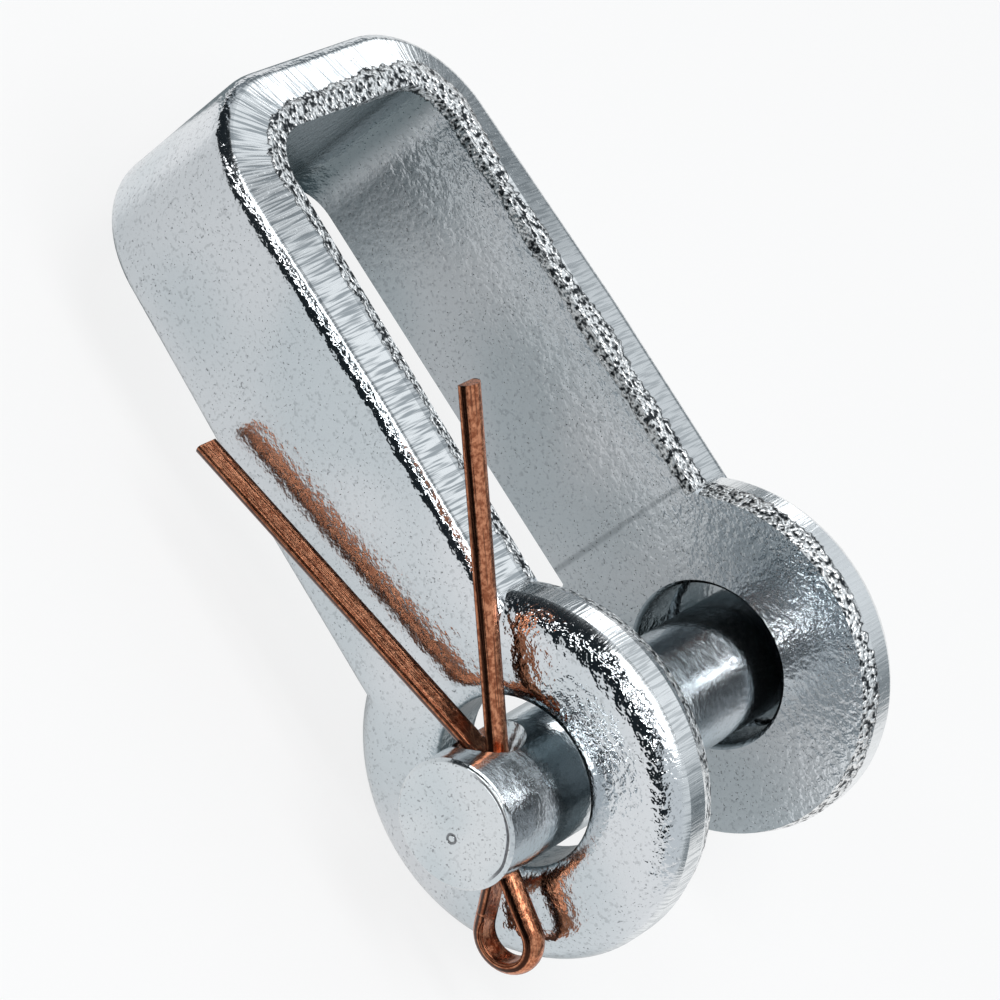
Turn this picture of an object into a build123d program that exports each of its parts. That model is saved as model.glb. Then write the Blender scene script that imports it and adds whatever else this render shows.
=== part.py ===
import os
from math import asin, cos, degrees, hypot, radians, sin, sqrt

from build123d import *

# Strap clevis, in millimetres. The origin is on the ears' bore axis, midway between
# the ears. X points from the bow to the mouth, Y lies along the pin with the pin's
# free end towards -Y, and Z is up, so that the strap lies on its edge.

# Strap: one flat plate, stamped with a round eye at each end and bent into a U.
plate_t = 8.6
strap_w = 25.5
jaw_gap = 34.9          # between the ears
bow_gap = 32.8          # between the arms where they enter the bends
reach = 87.1            # bore axis to the bow's outer face
bend_r = 6.0            # inside radius of the two bends
ear_d = 45.3
bore_d = 21.0

# Edges left by the stamping: rolled over outside, torn and tapered inside.
edge_roll = 2.2
edge_draft = 0.35       # how much narrower the plate is at its outer face
tear_taper = 0.25
tear_depth = 2.4
rim_taper = 0.7         # the same taper round the ear
rim_roll_w = 4.4        # roll-over round the ear: how wide and how deep
rim_roll_d = 3.2
bore_roll_w = 3.2       # roll-over into the bore
bore_roll_d = 1.2
bore_break = 0.5

# The plate's outer face draws narrow as it bends, over this length before each bend.
draw_in = 1.65
draw_length = 28.0

# Headed pin. It hangs a little off the bores' axis, inside their clearance.
pin_d = 16.0
pin_sag_x = 0.8
pin_sag_z = -0.3
pin_projection = 11.4   # free end, past the near ear's outer face
pin_chamfer = 0.4
head_d = 28.0
head_t = 5.0
head_round = 1.2
head_play = 0.3         # under the head, to the far ear

# Cross hole near the pin's free end, with a deep 60 degree countersink at each mouth.
cross_d = 4.9
cross_inset = 8.2       # hole's axis, from the free end
cross_turn = 32.6       # hole's direction, up from -X
sink_d = 9.5
sink_angle = 60.0

# Split pin: half-round wire folded back on itself, flat against flat.
wire_r = 1.75
wire_edge_r = 0.35      # rounding where the flat meets the round side
flat_gap = 0.2
eye_w = 5.8             # inside the eye, between the flats
eye_reach = 19.6        # pin's axis to the inside of the eye
eye_neck = 8.4          # pin's axis to where the eye starts to open
neck_bend_r = 5.0
straight_leg = 49.9     # pin's axis to the straighter leg's tip
straight_lean = 1.7     # degrees that it leans away from the hole's axis
bent_leg = 49.7         # length of the other leg beyond its bend
bent_lean = 46.2        # degrees that it is bent out
bent_start = 5.6        # pin's axis to the bend's corner
leg_bend_r = 3.6


# Sizes that follow from those above.
half_gap = jaw_gap / 2
half_bow = bow_gap / 2
half_w = strap_w / 2
ear_r = ear_d / 2
bore_r = bore_d / 2
pin_r = pin_d / 2
ear_face = half_gap + plate_t
bend_x = -(reach - plate_t - bend_r)
draw_x = bend_x + draw_length
flat_r = ear_r - rim_roll_w
quarter_turn = 90
root_x = -sqrt(flat_r**2 - half_w**2)
neck_x = -sqrt(ear_r**2 - half_w**2)
free_end = -(ear_face + pin_projection)
head_seat = ear_face + head_play


def strap_profile(plane, narrowing):
    """Section across the plate: local x runs from the inner face to the outer one."""
    outer = half_w - narrowing
    with BuildSketch(plane) as profile:
        with BuildLine():
            Polyline(
                (0, tear_taper - half_w),
                (tear_depth, -half_w),
                (plate_t, -outer),
                (plate_t, outer),
                (tear_depth, half_w),
                (0, half_w - tear_taper),
                close=True,
            )
        make_face()
        fillet(profile.vertices().group_by(Axis.X)[-1], radius=edge_roll)
    return profile.sketch


def arm_section(x, narrowing):
    """The near arm's section. From the neck to the bend, the arm leans in towards the bow."""
    lean = max(0, (neck_x - x) / (neck_x - bend_x))
    inner = half_gap + lean * (half_bow - half_gap)
    return strap_profile(Plane(origin=(x, -inner, 0), x_dir=(0, -1, 0), z_dir=(-1, 0, 0)), narrowing)


bow_plane = Plane(origin=(bend_x - bend_r, bend_r - half_bow, 0), x_dir=(-1, 0, 0), z_dir=(0, 1, 0))
bend_axis = Axis((bend_x, bend_r - half_bow, 0), (0, 0, -1))

with BuildPart() as clevis_strap:
    # The near arm, on the -Y side: level with the ear up to the neck, then leaning in, and
    # drawn narrow at its outer face before the bend. Then its bend and half of the bow.
    extrude(arm_section(root_x, edge_draft), amount=root_x - neck_x)
    loft([arm_section(neck_x, edge_draft), arm_section(draw_x, edge_draft)], ruled=True)
    loft([arm_section(draw_x, edge_draft), arm_section(bend_x, draw_in)], ruled=True)
    revolve(arm_section(bend_x, draw_in), axis=bend_axis, revolution_arc=quarter_turn)
    extrude(strap_profile(bow_plane, draw_in), amount=half_bow - bend_r)

    # The near ear: a stamped disc, its rim rolled over outside and tapered inside.
    with BuildSketch(Plane.XY):
        with BuildLine():
            inner_rim = Line((0, -half_gap), (ear_r - rim_taper, -half_gap))
            taper = Line(inner_rim @ 1, (ear_r, -(half_gap + tear_depth)))
            edge = Line(taper @ 1, (ear_r, rim_roll_d - ear_face))
            roll = TangentArc((flat_r, -ear_face), edge @ 1, tangent=(1, 0))
            face = Line(roll @ 0, (0, -ear_face))
            Line(face @ 1, inner_rim @ 0)
        make_face()
    revolve(axis=Axis.Y)

    # The bore, with its edge rolled in at the outer face and broken at the inner one.
    with BuildSketch(Plane.XY):
        with BuildLine():
            lip = Line((0, -half_gap), (bore_r + bore_break, -half_gap))
            lip_break = Line(lip @ 1, (bore_r, -(half_gap + bore_break)))
            wall = Line(lip_break @ 1, (bore_r, bore_roll_d - ear_face))
            inroll = TangentArc((bore_r + bore_roll_w, -ear_face), wall @ 1, tangent=(-1, 0))
            outside = Line(inroll @ 0, (bore_r + bore_roll_w, -ear_face - 1))
            top = Line(outside @ 1, (0, -ear_face - 1))
            Line(top @ 1, lip @ 0)
        make_face()
    revolve(axis=Axis.Y, mode=Mode.SUBTRACT)

    # The far arm and ear are the same, across the middle of the bow.
    mirror(about=Plane.XZ)
clevis_strap.part.label = "clevis_strap"


# The pin is turned: shank, chamfered free end, and a head behind the far ear.
with BuildPart() as clevis_pin:
    with BuildSketch(Plane.XY.offset(pin_sag_z)):
        with BuildLine():
            Polyline(
                (pin_sag_x, free_end),
                (pin_sag_x + pin_r - pin_chamfer, free_end),
                (pin_sag_x + pin_r, free_end + pin_chamfer),
                (pin_sag_x + pin_r, head_seat),
                (pin_sag_x + head_d / 2, head_seat),
                (pin_sag_x + head_d / 2, head_seat + head_t),
                (pin_sag_x, head_seat + head_t),
                close=True,
            )
        make_face()
    revolve(axis=Axis((pin_sag_x, 0, pin_sag_z), (0, 1, 0)))
    head_rim = clevis_pin.edges().filter_by(GeomType.CIRCLE).sort_by(Axis.Y)[-1]
    fillet(head_rim, radius=head_round)

    # The cross hole and its two countersinks, turned about the pin's axis.
    hole_dir = Vector(-cos(radians(cross_turn)), 0, sin(radians(cross_turn)))
    hole_centre = Vector(pin_sag_x, free_end + cross_inset, pin_sag_z)
    mouth_up = Plane(origin=hole_centre + hole_dir * pin_r, x_dir=(0, 1, 0), z_dir=hole_dir)
    mouth_down = Plane(origin=hole_centre - hole_dir * pin_r, x_dir=(0, 1, 0), z_dir=-hole_dir)
    with Locations(mouth_up, mouth_down):
        CounterSinkHole(
            radius=cross_d / 2,
            counter_sink_radius=sink_d / 2,
            depth=pin_r,
            counter_sink_angle=sink_angle,
        )
clevis_pin.part.label = "clevis_pin"


# The split pin lies in one plane across the pin: local x goes out of the upper mouth.
wire_plane = Plane(origin=hole_centre, x_dir=hole_dir, z_dir=(0, 1, 0))
half_flat = flat_gap / 2
eye_r = eye_w / 2
eye_x = eye_r - eye_reach
neck_to_eye = hypot(eye_x + eye_neck, half_flat)
flare = asin(eye_r / neck_to_eye) - asin(half_flat / neck_to_eye)


def turn(angle):
    """Unit vector in the wire's plane, at an angle in degrees from the hole's direction."""
    return Vector(cos(radians(angle)), sin(radians(angle)))


with BuildPart() as split_pin:
    # The path follows the wire's flat: in along the bent leg, round the eye, and out
    # along the straighter leg.
    bend_corner = Vector(bent_start, -half_flat)
    bent_tip = bend_corner + turn(-bent_lean) * bent_leg
    eye_centre = Vector(eye_x, 0)
    low_touch = eye_centre + turn(degrees(flare) - 90) * eye_r
    high_touch = eye_centre + turn(90 - degrees(flare)) * eye_r
    straight_neck = Vector(-eye_neck, half_flat)
    straight_tip = straight_neck + turn(straight_lean) * (straight_leg + eye_neck)
    with BuildLine(wire_plane) as wire:
        FilletPolyline(
            tuple(bent_tip),
            tuple(bend_corner),
            (-eye_neck, -half_flat),
            tuple(low_touch),
            radius=[leg_bend_r, neck_bend_r],
        )
        CenterArc((eye_x, 0), eye_r, degrees(flare) - 90, -(180 + 2 * degrees(flare)))
        FilletPolyline(tuple(high_touch), tuple(straight_neck), tuple(straight_tip), radius=neck_bend_r)
    tip_point = wire_plane.from_local_coords(bent_tip)
    corner_point = wire_plane.from_local_coords(bend_corner)
    with BuildSketch(Plane(origin=tip_point, x_dir=(0, 1, 0), z_dir=corner_point - tip_point)) as half_round:
        with BuildLine():
            Line((-wire_r, 0), (wire_r, 0))
            ThreePointArc((wire_r, 0), (0, -wire_r), (-wire_r, 0))
        make_face()
        fillet(half_round.vertices(), radius=wire_edge_r)
    sweep(path=wire.wires()[0])
split_pin.part.label = "split_pin"


os.makedirs("parts", exist_ok=True)
export_step(clevis_strap.part, "parts/clevis_strap.step")
export_step(clevis_pin.part, "parts/clevis_pin.step")
export_step(split_pin.part, "parts/split_pin.step")
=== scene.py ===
# %% [markdown]
# A strap clevis in bright zinc: one stamped plate bent into a U, a turned pin through
# its two ears, and a copper-coloured split pin. The pieces could be modelled again
# here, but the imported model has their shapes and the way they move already, so this
# script loads them as they are and gives them their looks.

# %% Load the frame
import math

import bpy
from mathutils import Matrix, Quaternion, Vector


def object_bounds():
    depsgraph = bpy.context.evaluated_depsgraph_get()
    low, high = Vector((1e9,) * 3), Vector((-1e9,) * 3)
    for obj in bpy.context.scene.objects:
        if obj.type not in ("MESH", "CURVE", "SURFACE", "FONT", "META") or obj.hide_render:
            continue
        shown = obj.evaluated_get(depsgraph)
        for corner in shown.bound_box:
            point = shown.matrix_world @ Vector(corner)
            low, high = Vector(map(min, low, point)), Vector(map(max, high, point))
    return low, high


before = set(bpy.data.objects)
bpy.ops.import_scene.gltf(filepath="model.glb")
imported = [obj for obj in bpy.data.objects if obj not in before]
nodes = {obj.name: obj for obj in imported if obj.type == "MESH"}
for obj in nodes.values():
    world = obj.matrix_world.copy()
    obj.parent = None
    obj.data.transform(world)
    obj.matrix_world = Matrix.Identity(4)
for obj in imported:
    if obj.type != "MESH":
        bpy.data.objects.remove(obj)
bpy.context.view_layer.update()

# %% [markdown]
# A real finish changes from place to place, and here each such change is a sum on the
# outputs of shader nodes. The Math nodes could be wired one by one. A class whose
# operators add them lets a sum be written as a sum, which is easier to read and change.

# %% Sums on shader sockets


class Socket:
    """A node's output, on which + - * / and the calls below add Math nodes."""

    def __init__(self, tree, out):
        self.tree, self.out = tree, out

    def math(self, operation, *others):
        node = self.tree.nodes.new("ShaderNodeMath")
        node.operation = operation
        for slot, value in zip(node.inputs, (self, *others)):
            if isinstance(value, Socket):
                self.tree.links.new(value.out, slot)
            else:
                slot.default_value = value
        return Socket(self.tree, node.outputs[0])

    def __add__(self, other):
        return self.math("ADD", other)

    def __sub__(self, other):
        return self.math("SUBTRACT", other)

    def __rsub__(self, other):
        return self.math("MULTIPLY_ADD", -1.0, other)

    def __mul__(self, other):
        return self.math("MULTIPLY", other)

    def __truediv__(self, other):
        return self.math("DIVIDE", other)

    __radd__ = __add__
    __rmul__ = __mul__

    def size(self):
        return self.math("ABSOLUTE")

    def at_least(self, least):
        return self.math("MAXIMUM", least)

    def at_most(self, most):
        return self.math("MINIMUM", most)

    def root(self):
        return self.math("SQRT")


print("sums: + - * / size at_least at_most root")

# %% [markdown]
# The other nodes are textures, mixes and shaders. Each could get its own function, but
# one method that takes a node's type, its settings and its sockets' values does for all
# of them. A finish is a material that is built up with it.

# %% Nodes by type
MM = 0.001


class Outputs:
    """A made node, whose outputs are read by name or by place."""

    def __init__(self, tree, made):
        self.tree, self.made = tree, made

    def __getitem__(self, key):
        return Socket(self.tree, self.made.outputs[key])


class Shading:
    """A node tree, of a material or of the world."""

    def __init__(self, tree):
        self.tree = tree

    def link(self, value, slot):
        if isinstance(value, Socket):
            self.tree.links.new(value.out, slot)
        else:
            slot.default_value = value

    def node(self, kind, settings=None, **values):
        """Sockets are named with _ for a space, or in0, in1 by place."""
        made = self.tree.nodes.new("ShaderNode" + kind)
        for key, value in (settings or {}).items():
            setattr(made, key, value)
        for key, value in values.items():
            by_place = key[:2] == "in" and key[2:].isdigit()
            self.link(value, made.inputs[int(key[2:]) if by_place else key.replace("_", " ")])
        return Outputs(self.tree, made)


class Finish(Shading):
    """A material under construction, with its main shader."""

    def __init__(self, name, **constants):
        self.material = bpy.data.materials.new(name)
        self.material.use_nodes = True
        super().__init__(self.material.node_tree)
        self.tree.nodes.clear()
        self.output = self.tree.nodes.new("ShaderNodeOutputMaterial")
        self.shader = self.node("BsdfPrincipled", **constants)
        self.show(self.shader["BSDF"])

    def show(self, surface):
        self.link(surface, self.output.inputs["Surface"])

    def set(self, **values):
        for key, value in values.items():
            self.link(value, self.shader.made.inputs[key.replace("_", " ")])

    def relief(self, height):
        """Bumps of this height in millimetres."""
        bump = self.node("Bump", Height=height, Distance=MM, Strength=1.0)
        self.set(Normal=bump["Normal"])


print("one millimetre is", MM, "of Blender's units")

# %% [markdown]
# Metal's patterns come from a few ingredients: noise for what is irregular, soft steps
# that turn a distance into a mask, and mixes of two colours by a mask. They are worked
# out in millimetres from the piece's own coordinates, so that they keep their scale and
# stay where they are when the piece moves.

# %% Ingredients of the patterns


def own_place(shading):
    """The piece's own coordinates in millimetres, as a vector and as x, y, z."""
    here = shading.node("TexCoord")["Object"]
    scaled = shading.node("VectorMath", {"operation": "SCALE"}, in0=here, Scale=1 / MM)
    parts = shading.node("SeparateXYZ", Vector=scaled["Vector"])
    return scaled["Vector"], parts["X"], parts["Y"], parts["Z"]


def vector(shading, x, y, z):
    return shading.node("CombineXYZ", X=x, Y=y, Z=z)["Vector"]


def grain(shading, place, per_mm, octaves, rough=0.5):
    """Noise between 0 and 1 with its middle at 0.5."""
    noise = shading.node("TexNoise", Vector=place, Scale=per_mm, Detail=octaves, Roughness=rough)
    return noise["Fac"]


def ease(shading, value, start, end, low=0.0, high=1.0):
    """A soft step from low at start to high at end."""
    step = shading.node(
        "MapRange",
        {"interpolation_type": "SMOOTHSTEP"},
        Value=value,
        From_Min=start,
        From_Max=end,
        To_Min=low,
        To_Max=high,
    )
    return step["Result"]


def blend(shading, share, first, second):
    """The first colour, with this share of the second."""
    return shading.node("Mix", {"data_type": "RGBA"}, in0=share, in6=first, in7=second)[2]


print("ingredients: own_place vector grain ease blend")

# %% [markdown]
# Under a lens bright zinc is a fine orange peel, with shallow dull dimples and a few
# small dark pits. Real dents in the mesh would need millions of faces, so the skin is
# noise at two scales that feeds the bump. The dimples reuse the finer noise, because
# each further layer slows the render down.

# %% The zinc's skin
COARSE_SKIN, FINE_SKIN = 0.060, 0.050  # heights in millimetres
PIT_LEVEL, DULL_LEVEL = (0.73, 0.78), (0.45, 0.28)  # where the noise makes one


def peel(shading, mm):
    """The skin's height in millimetres, and how much of a pit and of a dull dimple is here."""
    coarse = grain(shading, mm, per_mm=0.8, octaves=0.0)
    fine = grain(shading, mm, per_mm=1.9, octaves=1.0)
    skin = coarse * COARSE_SKIN + fine * FINE_SKIN
    specks = grain(shading, mm, per_mm=3.3, octaves=0.0)
    return skin, ease(shading, specks, *PIT_LEVEL), ease(shading, fine, *DULL_LEVEL)


print("zinc skin: up to", COARSE_SKIN + FINE_SKIN, "mm high")

# %% [markdown]
# The strap was cut out flat and then bent, so its marks follow the plate and not the
# room. They could be painted on an unwrapped map, but the strap is simple enough to
# work out two coordinates: depth goes through the plate from its inner face, and run
# goes along it from the bend, round the bend and on over the bow. Both are in
# millimetres, from the same sizes as the solid.

# %% Where a point lies on the strap
PLATE, EAR_R = 8.6, 22.65
HALF_BOW, HALF_JAW = 16.4, 17.45  # half the gap at the bends, and between the ears
BEND_R, BEND_X, NECK_X = 6.0, -72.5, -18.7
BEND_MIDDLE = BEND_R + PLATE / 2

zinc = Finish("strap_zinc", Metallic=1.0)
mm, x, y, z = own_place(zinc)
across, aside = y.size(), z.size()
past_bend = BEND_X - x
lean = ((x - BEND_X) / (NECK_X - BEND_X)).at_least(0.0).at_most(1.0)
round_x = past_bend.at_least(0.0)
round_y = (across - lean * (HALF_JAW - HALF_BOW) - (HALF_BOW - BEND_R)).at_least(0.0)
depth = (round_x * round_x + round_y * round_y).root() - BEND_R
on_arm = past_bend.at_most(0.0)
on_bend = round_x.math("ARCTAN2", round_y) * BEND_MIDDLE
run = on_arm + on_bend + (HALF_BOW - BEND_R - across).at_least(0.0)
print("strap: a bend is", round(BEND_MIDDLE * math.pi / 2, 1), "mm long in the plate's middle")

# %% [markdown]
# The marks of the punch are on the cut edges alone: the strap's two long edges and the
# rims of its ears. They could be separate faces, but the solid is one mesh, so the
# surface's own direction tells them apart. Along an edge the patterns need one more
# coordinate, and a number of its own for each of the four edges keeps them different.

# %% The cut edges
SQUARE_ON = (0.80, 0.93)  # how squarely a point faces the edge's own direction
BEYOND_BORE = (15.0, 16.0)  # radius from which an outward face is the rim
NECK_BLUR = 0.2
FAR_STEP, UPPER_STEP = 90.0, 40.0  # these set the four edges' patterns apart

facing = zinc.node("SeparateXYZ", Vector=zinc.node("TexCoord")["Normal"])
radius = (x * x + z * z).root()
on_ear = ease(zinc, x, NECK_X - NECK_BLUR, NECK_X + NECK_BLUR)
off_ear = 1.0 - on_ear
outward = (x * facing["X"] + z * facing["Z"]) / radius
arm_edge = ease(zinc, facing["Z"].size(), *SQUARE_ON) * off_ear
ear_edge = ease(zinc, outward, *SQUARE_ON) * ease(zinc, radius, *BEYOND_BORE) * on_ear
cut_edge = arm_edge + ear_edge
face = 1.0 - cut_edge
which_edge = y.math("SIGN") * FAR_STEP + z.math("SIGN") * UPPER_STEP
along = run * off_ear + z.math("ARCTAN2", x) * EAR_R * on_ear + which_edge
print("cut edges:", len(zinc.tree.nodes), "nodes so far")

# %% [markdown]
# A punch first rolls the corner over, then burnishes a smooth band, and tears the rest
# of the plate away. The torn band lies next to the inner face. It wanders slowly, has a
# ragged border whose lip gets a dark line of painted shade, is wider round the bow, and
# creeps a little way onto the far arm's inner face. Its border is the plate's depth
# compared with a width that two noises shift, because that gives a ragged line without a
# painted mask.

# %% Torn and burnished bands
TORN_WIDTH, TORN_SLANT, TORN_ON_BOW = 2.1, 0.018, 1.3
WANDER, RAGGED = 2.0, 2.2
BOW_ZONE, FAR_ARM, INNER_SKIN = (-9.0, 5.0), (0.0, 2.0), (0.4, 0.1)
CREEP_FROM, CREEP_WANDER, CREEP_RAGGED = 10.9, 0.8, 1.6  # on the inner face
CREEP_BORDER, LIP = (0.15, 0.35), (0.24, 0.02)
BORDER_BLUR = 0.07
EDGE_SQUEEZE, LINE_SQUEEZE = 0.4, 0.06  # these draw the patterns out through the plate

edge_line = vector(zinc, along, which_edge, 0.0)
edge_place = vector(zinc, along, depth * EDGE_SQUEEZE, which_edge)
wander = grain(zinc, edge_line, per_mm=0.15, octaves=0.0) - 0.5
ragged = grain(zinc, edge_place, per_mm=0.9, octaves=1.0, rough=0.7) - 0.5
bow = ease(zinc, run, *BOW_ZONE) * off_ear
shift = wander * WANDER + ragged * RAGGED
inside_border = y * TORN_SLANT + bow * TORN_ON_BOW + shift + TORN_WIDTH - depth
creep = z - CREEP_FROM + ragged * CREEP_RAGGED + wander * CREEP_WANDER
creep = creep * ease(zinc, y, *FAR_ARM) * off_ear
inner_skin = ease(zinc, depth, *INNER_SKIN)
torn_face = ease(zinc, creep, *CREEP_BORDER) * inner_skin
torn_edge = ease(zinc, inside_border, -BORDER_BLUR, BORDER_BLUR) * cut_edge
torn = torn_edge.at_least(torn_face)
# painted shade: a dark line along the torn band's border
lip_shade = ease(zinc, inside_border.size(), *LIP) * cut_edge
burnished = cut_edge * (1.0 - torn)
print("torn band: about", TORN_WIDTH, "mm wide, and", TORN_WIDTH + TORN_ON_BOW, "on the bow")

# %% [markdown]
# Each zone has its own relief: orange peel on the faces, which is drawn out where the
# plate was stretched towards the ears' rims and the rolled corners, fine lines across
# the burnished band, and crumbs in the torn one. One height that adds up the zones by
# their masks joins them without seams.

# %% The strap's relief
LINE_RELIEF, BAND_STEP, CRUMB_RELIEF = 0.045, 0.12, 0.60
RIM_ZONE, CORNER_DEPTH, CORNER_ASIDE = (17.0, 21.0), (6.6, 8.0), (8.0, 11.5)

crumb = grain(zinc, mm, per_mm=1.4, octaves=1.0, rough=0.7)
line_place = vector(zinc, along, depth * LINE_SQUEEZE, which_edge)
cut_lines = grain(zinc, line_place, per_mm=2.8, octaves=1.0, rough=0.7)
skin, pit, dull = peel(zinc, mm)
rim_stretch = ease(zinc, radius, *RIM_ZONE) * on_ear
corner_stretch = ease(zinc, depth, *CORNER_DEPTH) * ease(zinc, aside, *CORNER_ASIDE)
stretch = rim_stretch + corner_stretch
zinc.relief(
    skin * face * (stretch + 1.0)
    + (cut_lines * LINE_RELIEF + BAND_STEP) * burnished
    + crumb * CRUMB_RELIEF * torn
)
print("strap relief:", len(zinc.tree.nodes), "nodes so far")

# %% [markdown]
# The plate's faces are a little cloudy, and darker in the pits and dimples. Painted shade
# draws a dark line across the inner face at each ear's neck, where the plate creases.
# The inside of the bow and the bores get painted shade, darker than plain zinc, because
# little light reaches them. Light alone could darken them, but the soft studio light
# reaches in too far, so these places also get a painted darker tone.

# %% Colour of the strap's faces
GREY_ZINC, PALE_ZINC = (0.60, 0.65, 0.68, 1), (0.72, 0.745, 0.77, 1)
PIT_TONE, CREASE_SHADE_TONE = (0.12, 0.13, 0.14, 1), (0.10, 0.12, 0.13, 1)
BOW_SHADE_TONE, BORE_SHADE_TONE = (0.06, 0.12, 0.135, 1), (0.05, 0.08, 0.09, 1)
PIT_SHARE, DULL_SHARE, CREASE_SHADE_SHARE, BOW_SHADE_SHARE, BORE_SHADE_SHARE = 0.5, 0.24, 0.35, 0.65, 0.8
CREASE_FROM_NECK, CREASE_WANDER = 1.2, 2.0
CREASE_WIDTH, CREASE_DEPTH = (0.55, 0.1), (0.25, 0.1)
BOW_DARKENS, BORE_WALL = (1.0, 8.0), (10.9, 10.6)
CLOUD_LEVEL = (0.3, 0.7)

cloud = grain(zinc, mm, per_mm=0.06, octaves=0.0)
pitted = (pit * PIT_SHARE + dull * DULL_SHARE).at_most(1.0)
from_crease = (x - NECK_X + CREASE_FROM_NECK + wander * CREASE_WANDER).size()
# painted shade: a dark line across the inner face at each ear's neck, where the plate creases
crease_shade = ease(zinc, from_crease, *CREASE_WIDTH) * ease(zinc, depth, *CREASE_DEPTH) * face
# painted shade, darker than plain zinc, inside the bow and on the bores' walls
bow_shade = ease(zinc, run, *BOW_DARKENS) * inner_skin * off_ear
bore_shade = ease(zinc, radius, *BORE_WALL) * on_ear

plate_colour = blend(zinc, ease(zinc, cloud, *CLOUD_LEVEL), GREY_ZINC, PALE_ZINC)
for share, tone in (
    (pitted, PIT_TONE),
    (crease_shade * CREASE_SHADE_SHARE, CREASE_SHADE_TONE),
    (bow_shade * BOW_SHADE_SHARE, BOW_SHADE_TONE),
    (bore_shade * BORE_SHADE_SHARE, BORE_SHADE_TONE),
):
    plate_colour = blend(zinc, share, plate_colour, tone)
print("strap faces: from", GREY_ZINC[:3], "to", PALE_ZINC[:3])

# %% [markdown]
# The burnished band is bright with darker lines in the direction of the cut, which are
# fainter on the far arm and on the ears. The torn band glitters by painted light: painted
# shade in its black hollows, painted glints on its white crumbs, from the same noise as its
# relief. The roughness follows the same masks, because a worn place differs in its gloss
# as much as in its colour.

# %% Colour of the cut edges, and the gloss
BRIGHT, LINE_TONE = (0.84, 0.86, 0.87, 1), (0.36, 0.39, 0.41, 1)
HOLLOW_SHADE, CRUMB_GLINT = (0.03, 0.035, 0.04, 1), (0.95, 0.96, 0.96, 1)
LIP_SHADE_TONE, LIP_SHADE_SHARE = (0.10, 0.11, 0.12, 1), 0.55
LINE_LEVEL, CRUMB_LEVEL = (0.56, 0.38), (0.36, 0.56)
FAR_SIDE, FAINTER = (0.0, 14.0), 0.45
ZINC_ROUGH, CLOUD_ROUGH, TORN_ROUGH, BAND_ROUGH, PIT_ROUGH = 0.13, 0.08, 0.12, 0.05, 0.2
STRETCH_GLOSS = 0.07

line_strength = 1.0 - ease(zinc, y, *FAR_SIDE) * FAINTER - on_ear * FAINTER
line_share = ease(zinc, cut_lines, *LINE_LEVEL) * line_strength
burnished_colour = blend(zinc, line_share, BRIGHT, LINE_TONE)
# painted shade in the torn band's hollows and painted glints on its crumbs, following its relief
torn_shade_and_glint = blend(zinc, ease(zinc, crumb, *CRUMB_LEVEL), HOLLOW_SHADE, CRUMB_GLINT)
colour = blend(zinc, burnished, plate_colour, burnished_colour)
colour = blend(zinc, torn, colour, torn_shade_and_glint)
colour = blend(zinc, lip_shade * LIP_SHADE_SHARE, colour, LIP_SHADE_TONE)
wear = torn * TORN_ROUGH + burnished * BAND_ROUGH + pit * PIT_ROUGH
roughness = cloud * CLOUD_ROUGH + ZINC_ROUGH - stretch * face * STRETCH_GLOSS + wear
zinc.set(Base_Color=colour, Roughness=roughness)
print("strap finish:", len(zinc.tree.nodes), "nodes")

# %% [markdown]
# The pin was turned on a lathe before it was plated. Its end keeps the tool's faint
# rings, the small pip that is left a little off its middle, and a groove near its rim.
# They could be cut into the solid, but they are a tenth of a millimetre deep, so they
# are bumps, from the distance to the pin's axis and to the pip.

# %% Marks on the pin's end
PIN_X, PIN_Z, PIN_FREE_END = 0.8, -0.3, -37.45
PIP_X, PIP_Z, PIP_R = 1.1, -1.4, 0.55
GROOVE_R, GROOVE_WIDTH, GROOVE_ARC = 7.3, (0.22, 0.10), (3.0, 5.5)
PIP_RING, PIP_TOP = (0.22, 0.06), (0.6, 0.35)
END_FACE = (PIN_FREE_END + 0.25, PIN_FREE_END + 0.05)
WAVES_PER_MM, WAVE = 1.7, 0.05

turned = Finish("pin_zinc", Metallic=1.0)
mm, x, y, z = own_place(turned)
off_x, off_z = x - PIN_X, z - PIN_Z
radius = (off_x * off_x + off_z * off_z).root()
on_end = ease(turned, y, *END_FACE)
pip_x, pip_z = off_x - PIP_X, off_z - PIP_Z
pip_r = (pip_x * pip_x + pip_z * pip_z).root()
pip_ring = ease(turned, (pip_r - PIP_R).size(), *PIP_RING) * on_end
pip_top = ease(turned, pip_r, *PIP_TOP) * on_end
rings = grain(turned, vector(turned, pip_r, 0.0, 0.0), per_mm=2.4, octaves=1.0) * on_end
upper_right = ease(turned, off_x * 0.5 + off_z * 0.87, *GROOVE_ARC)
waver = (off_z * WAVES_PER_MM).math("SINE") * WAVE
groove = ease(turned, (radius - GROOVE_R + waver).size(), *GROOVE_WIDTH) * upper_right * on_end
print("pin's end: pip", 2 * PIP_R, "mm wide, groove at a radius of", GROOVE_R, "mm")

# %% [markdown]
# Otherwise the pin has the strap's plating, on smoother steel. It could share the
# strap's material, but that one is full of masks for edges which the pin doesn't have,
# so it gets its own, with the same skin.

# %% Zinc on the pin
GREY_PIN, PALE_PIN = (0.60, 0.66, 0.69, 1), (0.72, 0.75, 0.77, 1)
PIT_AND_GROOVE_SHADE = (0.10, 0.10, 0.11, 1)
SKIN_LEFT, GROOVE_DEPTH, RING_RELIEF, PIP_HEIGHT, PIP_GROOVE = 0.55, 0.15, 0.045, 0.12, 0.10
PIN_ROUGH, DULL_ROUGH, END_ROUGH = 0.16, 0.06, 0.05

skin, pit, dull = peel(turned, mm)
end_marks = rings * RING_RELIEF + pip_top * PIP_HEIGHT - pip_ring * PIP_GROOVE
turned.relief(skin * SKIN_LEFT - groove * GROOVE_DEPTH + end_marks)
pin_cloud = ease(turned, grain(turned, mm, per_mm=0.10, octaves=1.0), *CLOUD_LEVEL)
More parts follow.
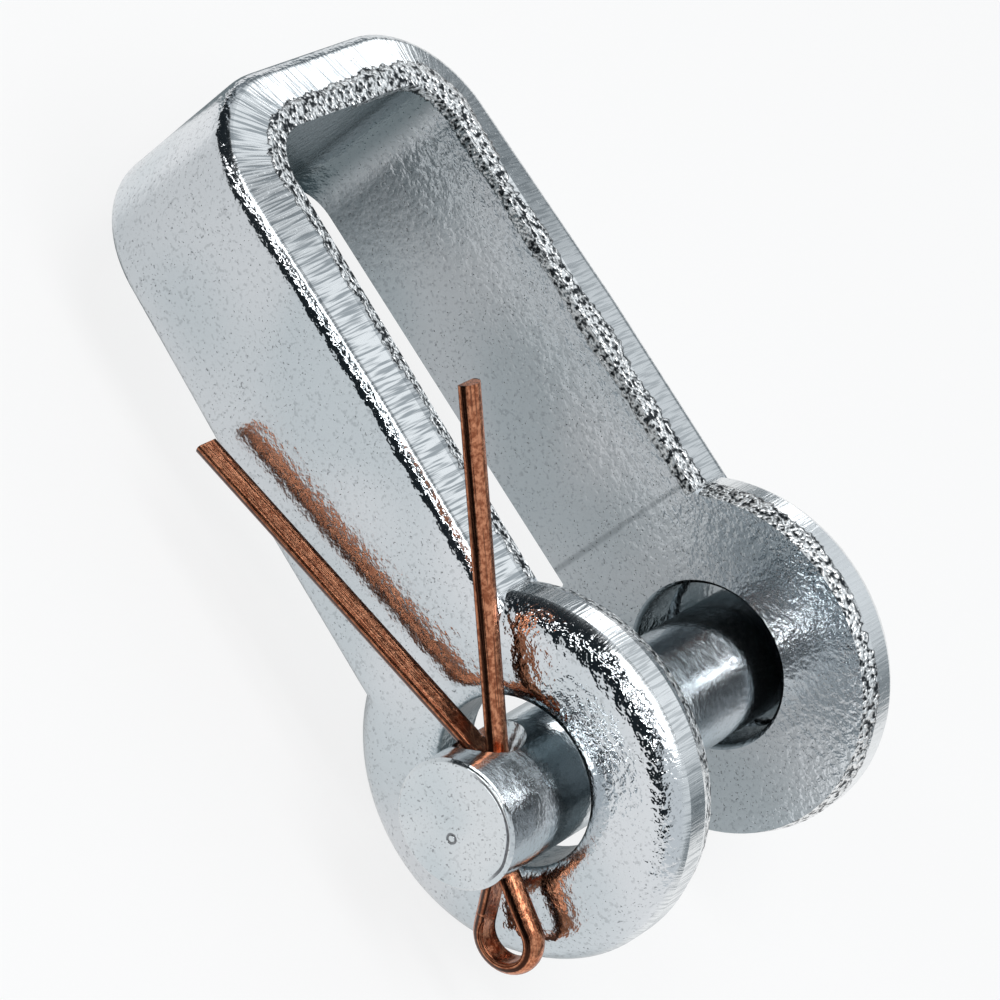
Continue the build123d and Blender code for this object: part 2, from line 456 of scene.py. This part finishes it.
# pits and dull dimples are darker, with painted shade in the groove and in the ring round the pip
pits_and_groove_shade = (pit * 0.5 + dull * 0.15 + pip_ring * 0.8 + groove * 0.9).at_most(1.0)
colour = blend(turned, pits_and_groove_shade, blend(turned, pin_cloud, GREY_PIN, PALE_PIN), PIT_AND_GROOVE_SHADE)
turned.set(Base_Color=colour, Roughness=dull * DULL_ROUGH + PIN_ROUGH + on_end * END_ROUGH)
print("pin finish:", len(turned.tree.nodes), "nodes")

# %% [markdown]
# The split pin is half-round wire, and drawing leaves lines along it. A pattern in the
# piece's own x, y, z would cut across them, so the pattern needs to know which way the
# wire runs: along the straighter leg, along the bent leg, or round the eye. Masks for
# the three join their coordinates, in the plane that the wire lies in.

# %% Which way the wire runs
CROSS_TURN, BENT_LEAN = math.radians(32.6), math.radians(46.2)
BENT_START, EYE_X, EYE_R = 5.6, -16.7, 2.9
WIRE_Y = PIN_FREE_END + 8.2
BENT_ZONE, BENT_SIDE, EYE_ZONE = (1.5, 3.0), (-0.9, -1.9), (-12.5, -14.5)

copper = Finish("worn_copper", Metallic=1.0)
mm, x, y, z = own_place(copper)
off_x, off_z, from_y = x - PIN_X, z - PIN_Z, y - WIRE_Y
out = off_z * math.sin(CROSS_TURN) - off_x * math.cos(CROSS_TURN)
over = off_x * math.sin(CROSS_TURN) + off_z * math.cos(CROSS_TURN)
past_start = out - BENT_START
bent_out = past_start * math.cos(BENT_LEAN) - over * math.sin(BENT_LEAN)
bent_over = past_start * math.sin(BENT_LEAN) + over * math.cos(BENT_LEAN)
on_bent = ease(copper, bent_out - over, *BENT_ZONE) * ease(copper, over, *BENT_SIDE)
on_eye = ease(copper, out, *EYE_ZONE)
from_eye = out - EYE_X
round_eye = (from_eye * from_eye + over * over).root()
straight_over = over * (1.0 - on_bent) * (1.0 - on_eye)
across_wire = straight_over + bent_over * on_bent + round_eye * on_eye
down_wire = out * (1.0 - on_bent) + bent_out * on_bent
print("wire:", len(copper.tree.nodes), "nodes so far")

# %% [markdown]
# Worn copper is dark and light in small scuffs, with darker drawing lines, and painted
# shade, black along the wire's edges. Its flat side is slightly rounded off towards
# those edges. More faces could do that, but the bump gives the same gleam for less.

# %% Copper on the split pin
DARK_COPPER, PALE_COPPER = (0.35, 0.112, 0.054, 1), (0.78, 0.33, 0.18, 1)
LINE_COPPER, EDGE_SHADE = (0.16, 0.055, 0.03, 1), (0.05, 0.02, 0.012, 1)
EDGE_SHADE_AT, FLAT_MIDDLE = 1.55, 0.9  # from the wire's middle plane
FLAT_ZONE, EDGE_SHADE_WIDTH = (0.30, 0.18), (0.20, 0.08)
SCUFF_LEVEL, LINE_COPPER_LEVEL = (0.35, 0.65), (0.44, 0.34)
LINE_ACROSS, LINE_DOWN = 1.6, 0.03  # fine across the wire, long down it
LINE_HEIGHT, SCUFF_HEIGHT, ROUNDING = 0.045, 0.03, 0.45
COPPER_ROUGH, SCUFF_ROUGH = 0.16, 0.15

on_flat = ease(copper, (across_wire - on_eye * EYE_R).size(), *FLAT_ZONE)
beyond_flat = (from_y.size() - FLAT_MIDDLE).at_least(0.0)
line_place = vector(copper, across_wire * LINE_ACROSS, from_y * LINE_ACROSS, down_wire * LINE_DOWN)
lines = grain(copper, line_place, per_mm=2.6, octaves=1.0, rough=0.6)
scuff = grain(copper, mm, per_mm=1.6, octaves=2.0, rough=0.65)
rounding = beyond_flat * beyond_flat * on_flat * ROUNDING
copper.relief(lines * LINE_HEIGHT + scuff * SCUFF_HEIGHT - rounding)
# painted shade: black along the wire's edges, a little fainter on its flat side
edge_shade = ease(copper, (from_y.size() - EDGE_SHADE_AT).size(), *EDGE_SHADE_WIDTH) * (1.0 - on_flat * 0.3)
tone = blend(copper, ease(copper, scuff, *SCUFF_LEVEL), DARK_COPPER, PALE_COPPER)
tone = blend(copper, ease(copper, lines, *LINE_COPPER_LEVEL) * 0.7, tone, LINE_COPPER)
tone = blend(copper, edge_shade, tone, EDGE_SHADE)
copper.set(Base_Color=tone, Roughness=scuff * SCUFF_ROUGH + COPPER_ROUGH)
print("copper finish:", len(copper.tree.nodes), "nodes")

# %% [markdown]
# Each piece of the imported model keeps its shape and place, and only gets its finish.
# New meshes could stand in for them, but nothing would be gained, because the solids
# have every form that the real pieces show.

# %% Dress the pieces


def dress(piece, material):
    piece.data.materials.clear()
    piece.data.materials.append(material)


for name, finish in (("clevis_strap", zinc), ("clevis_pin", turned), ("split_pin", copper)):
    dress(nodes[name], finish.material)
    print(name, len(nodes[name].data.polygons), "faces")

# %% [markdown]
# The camera stands where the photographer's did: to the front right of the ears,
# looking down on them with a long lens. It could be placed by eye, but then each
# outline would be a little off. Its place, turn and lens were worked out from the
# outlines of the strap, the ears and the pin.

# %% Camera
RIGHT = Vector((0.5245, 0.56, 0.6413))
DOWN = Vector((0.8488, -0.285, -0.4453))
AHEAD = Vector((-0.0666, 0.7779, -0.6248))
CAMERA_PLACE = Vector((4.57, -400.58, 321.77))
IMAGE_WIDTH, FOCAL_LENGTH = 1000, 4291.1  # in pixels
SENSOR = 36.0

camera_data = bpy.data.cameras.new("camera")
camera = bpy.data.objects.new("camera", camera_data)
bpy.context.scene.collection.objects.link(camera)
camera.rotation_mode = "QUATERNION"
camera.rotation_quaternion = Matrix((RIGHT, -DOWN, -AHEAD)).transposed().to_quaternion()
camera.location = CAMERA_PLACE * MM
camera_data.sensor_width = SENSOR
camera_data.lens = SENSOR * FOCAL_LENGTH / IMAGE_WIDTH
camera_data.clip_start = 0.01
bpy.context.scene.camera = camera
print("camera:", [round(c, 3) for c in camera.location], "lens", round(camera_data.lens, 1))

# %% [markdown]
# The object rests on a wide sheet of white paper. The camera and the metal's
# reflections see it mostly by its own white, and the rest of it is ordinary paint, so
# the object keeps its shadow. A photographer lays dark cards where the metal would
# mirror too much white. Real cards would show in the picture, so here three soft
# patches of the paper are dark in reflections alone: inside the strap, behind the bow,
# and in front on the left.

# %% Where the paper is shaded
BEHIND_BOW, DARKEST = 0.9, 0.95

sheet = Finish("white_sheet", Roughness=0.95)
mm, x, y, z = own_place(sheet)
bow_end = ease(sheet, x, -95.0, -78.0)
mouth_end = ease(sheet, x, 60.0, 20.0)
darker_to_bow = ease(sheet, x, -80.0, -60.0, low=0.92, high=0.58)
in_strap = ease(sheet, y.size(), 27.0, 17.0) * bow_end * darker_to_bow * mouth_end
behind_bow = ease(sheet, y, 6.0, 14.0) * ease(sheet, y, 80.0, 55.0) * ease(sheet, x, -58.0, -66.0)
darker_to_left = ease(sheet, x, 0.0, -110.0, low=0.13, high=0.42)
front_left = ease(sheet, y, -15.0, -28.0) * darker_to_left
patches = (in_strap + behind_bow * BEHIND_BOW).at_most(DARKEST) + front_left
print("paper patches:", len(sheet.tree.nodes), "nodes")

# %% [markdown]
# The sheet itself is one large square at the height of the strap's lowest point. A
# curved backdrop would do as well, but the camera looks down so steeply that it never
# sees past the floor.

# %% Floor
PAPER, SHADED_PAPER = (0.88, 0.885, 0.89, 1), (0.04, 0.085, 0.10, 1)
WHITE_SHARE = 0.8
FLOOR_SIZE = 8

path = sheet.node("LightPath")
shaded = patches * path["Is Glossy Ray"]
bounced = (path["Is Glossy Ray"] + path["Is Transmission Ray"]).at_most(1.0)
seen_white = (path["Is Camera Ray"] + bounced * (1.0 - shaded)) * WHITE_SHARE
sheet.set(Base_Color=blend(sheet, shaded, PAPER, SHADED_PAPER))
white = sheet.node("Emission", Color=(1, 1, 1, 1), Strength=1.0)
paper = sheet.node("MixShader", in0=seen_white, in1=sheet.shader["BSDF"], in2=white["Emission"])
sheet.show(paper["Shader"])

low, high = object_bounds()
bpy.ops.mesh.primitive_plane_add(size=FLOOR_SIZE, location=(0, 0, low.z))
floor = bpy.context.object
floor.name = "floor"
dress(floor, sheet.material)
print("floor at", round(low.z, 4))

# %% [markdown]
# Bright metal shows what stands around it more than its own colour. A picture of a real
# studio could surround it, but a few plain zones are enough: a pale room, greyer low
# behind the object, with a dark gap high at the back and one dark side in front on the
# left, which makes the black bands along the rolled corners.

# %% Studio room
PALE_WALL, LOW_WALL = (0.66, 0.70, 0.73, 1), (0.17, 0.20, 0.22, 1)
GAP, DARK_SIDE = (0.05, 0.06, 0.07, 1), (0.015, 0.02, 0.024, 1)
GAP_RISE, GAP_SHARE, GAP_WIDTH = 0.935, 0.9, (0.035, 0.015)
LEFT_FRONT, BELOW_BOXES, LOW = (0.14, 0.32), (0.93, 0.86), (0.46, 0.22)

world = bpy.data.worlds.new("studio")
bpy.context.scene.world = world
world.use_nodes = True
room = Shading(world.node_tree)
way = room.node("SeparateXYZ", Vector=room.node("TexCoord")["Generated"])
rise, to_back = way["Z"], way["Y"]
to_front_left = to_back * -0.8 - way["X"] * 0.6
dark = ease(room, to_front_left, *LEFT_FRONT) * ease(room, rise, *BELOW_BOXES)
low_back = ease(room, rise, *LOW) * ease(room, to_back, 0.0, 0.25)
gap = ease(room, (rise - GAP_RISE).size(), *GAP_WIDTH) * ease(room, to_back, 0.0, 0.1)
wall = blend(room, low_back, PALE_WALL, LOW_WALL)
wall = blend(room, gap * GAP_SHARE, wall, GAP)
wall = blend(room, dark, wall, DARK_SIDE)
background = room.node("Background", Color=wall, Strength=1.0)
room.link(background["Background"], world.node_tree.nodes["World Output"].inputs["Surface"])
print("studio room:", len(world.node_tree.nodes), "nodes")

# %% [markdown]
# The light comes from soft boxes, as in a product studio: a large one overhead, two at
# the back that brighten the cut edges, a small one beside the camera for glints, and a
# long strip on the left that draws the white streak along the near arm's corner. Sun or
# spot lamps would leave hard shadows and points of light that the photo doesn't have.
# Each box faces the ears and may be turned about its own middle.

# %% Soft boxes


def soft_box(name, place, size, watts, roll):
    """A lamp of this size in metres, turned by roll in degrees."""
    lamp = bpy.data.lights.new(name, "AREA")
    lamp.shape = "RECTANGLE"
    lamp.size, lamp.size_y = size
    lamp.energy = watts
    made = bpy.data.objects.new(name, lamp)
    bpy.context.scene.collection.objects.link(made)
    made.location = place
    made.rotation_mode = "QUATERNION"
    about_middle = Quaternion((0, 0, 1), math.radians(roll))
    made.rotation_quaternion = (-Vector(place)).to_track_quat("-Z", "Y") @ about_middle
    print("soft box:", name, watts, "W")


for box in (
    ("back_top", (-0.05, 0.475, 0.585), (0.9, 0.34), 0.25, 0.0),
    ("back_left", (-0.38, 0.55, 0.27), (0.15, 0.15), 0.18, 0.0),
    ("beside_camera", (0.075, -0.57, 0.48), (0.10, 0.06), 0.32, 0.0),
    ("left_strip", (-0.26, -0.45, 0.468), (0.80, 0.085), 0.85, 37.5),
    ("overhead", (0.0, -0.14, 0.74), (0.8, 0.26), 2.3, 0.0),
):
    soft_box(*box)

# %% [markdown]
# The plain Standard view shows each colour about as it is written, where a film-like
# one would shift it.

# %% Look
bpy.context.scene.view_settings.view_transform = "Standard"
